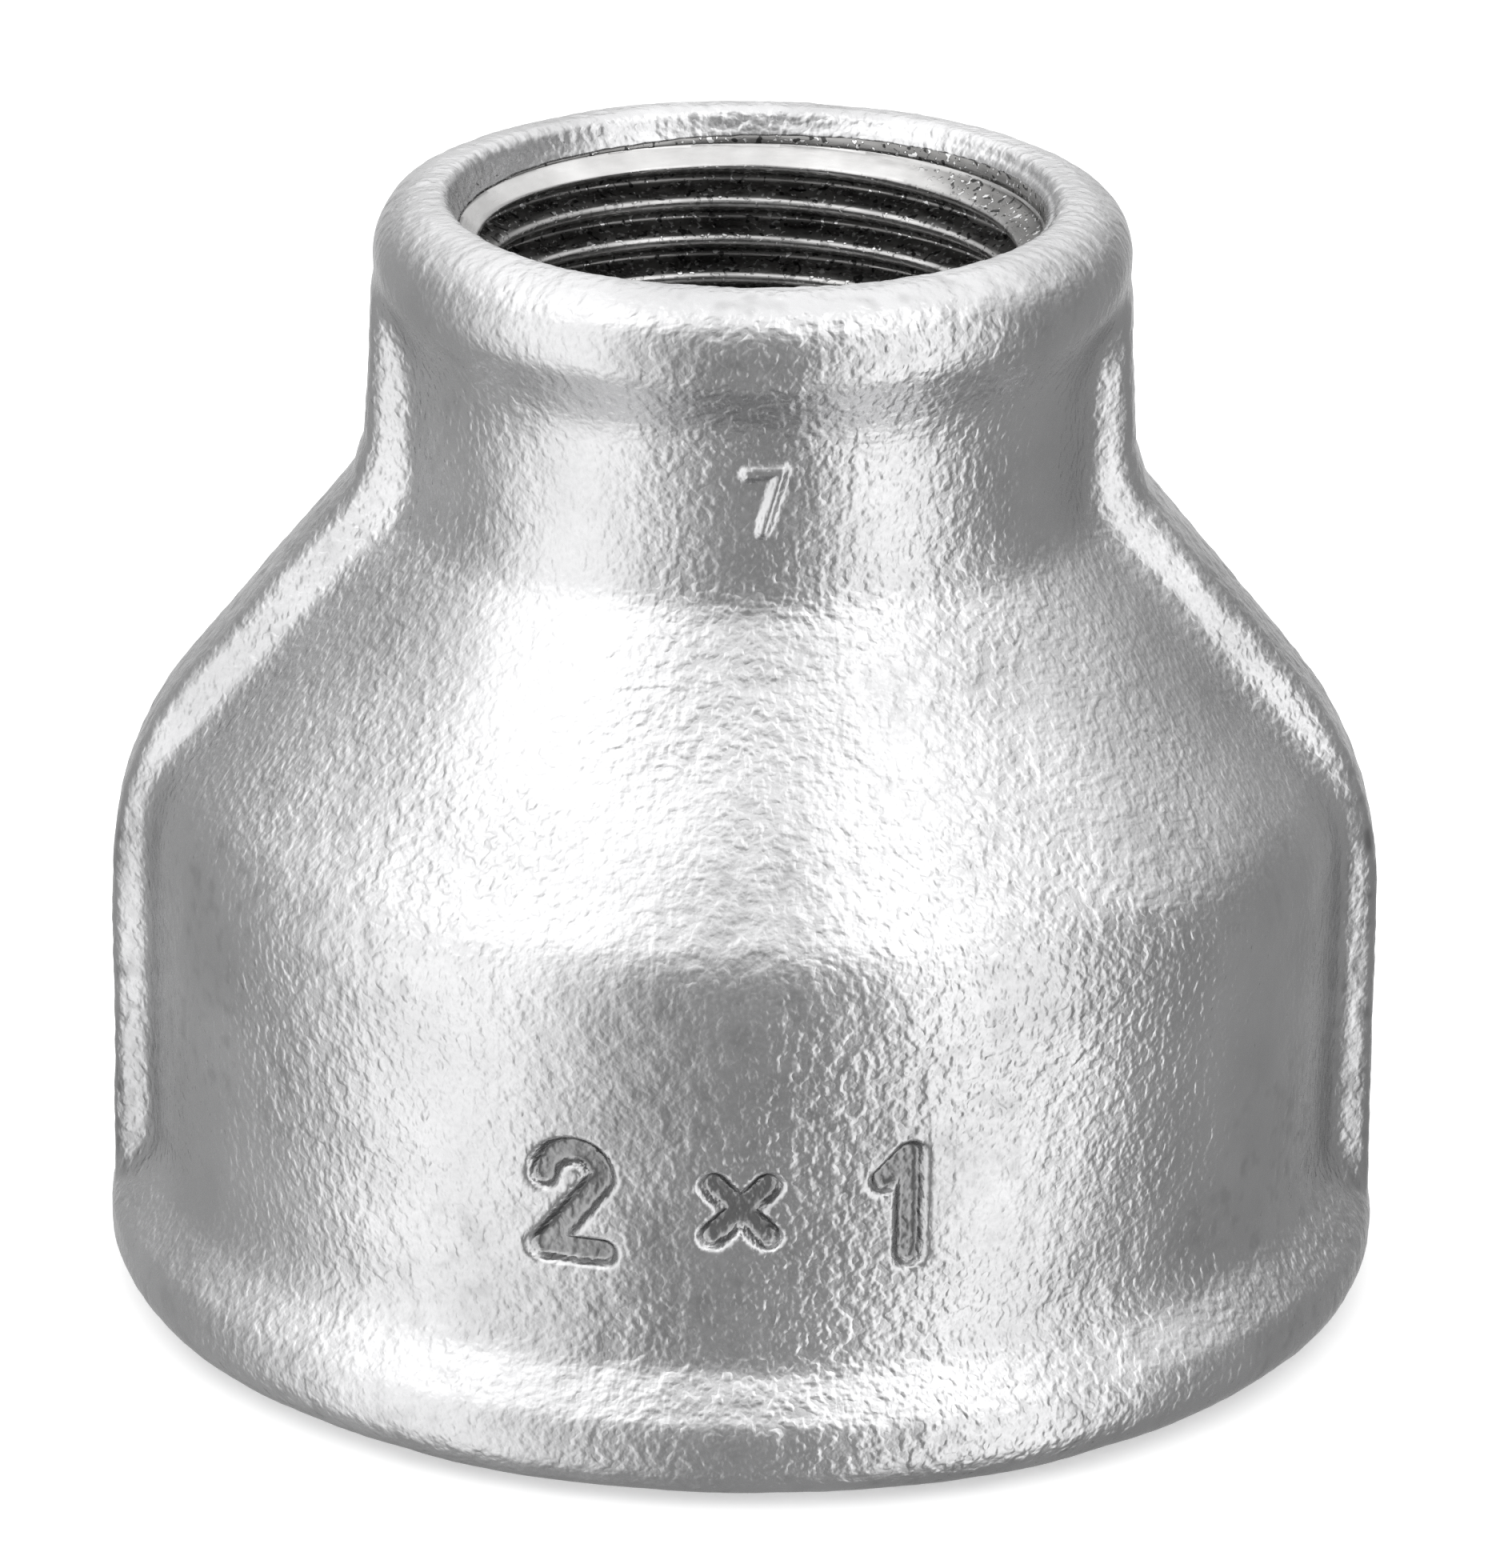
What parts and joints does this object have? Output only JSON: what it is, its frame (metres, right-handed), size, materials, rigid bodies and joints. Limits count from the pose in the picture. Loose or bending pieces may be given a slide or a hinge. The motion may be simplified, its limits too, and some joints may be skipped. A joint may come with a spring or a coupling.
{
  "type": "concentric reducer",
  "caption": "Galvanised malleable-iron reducing socket with internal pipe threads, 2 inch to 1 inch, beaded ends and two side ribs.",
  "frame": {"origin": "centre of the large end's face, which is also the middle of the underside", "axes": "+Z along the common thread axis from the large end to the small end, +X through one rib, -Y towards the side with the size mark"},
  "size_m": [0.0746, 0.0746, 0.065],
  "materials": {
    "bare_iron": "satin",
    "zinc_outside": "satin",
    "zinc_inside": "matte"
  },
  "bodies": {
    "root": {"iron_casting": "bare_iron", "zinc_coat_outside": "zinc_outside", "zinc_coat_inside": "zinc_inside"}
  },
  "joints": []
}
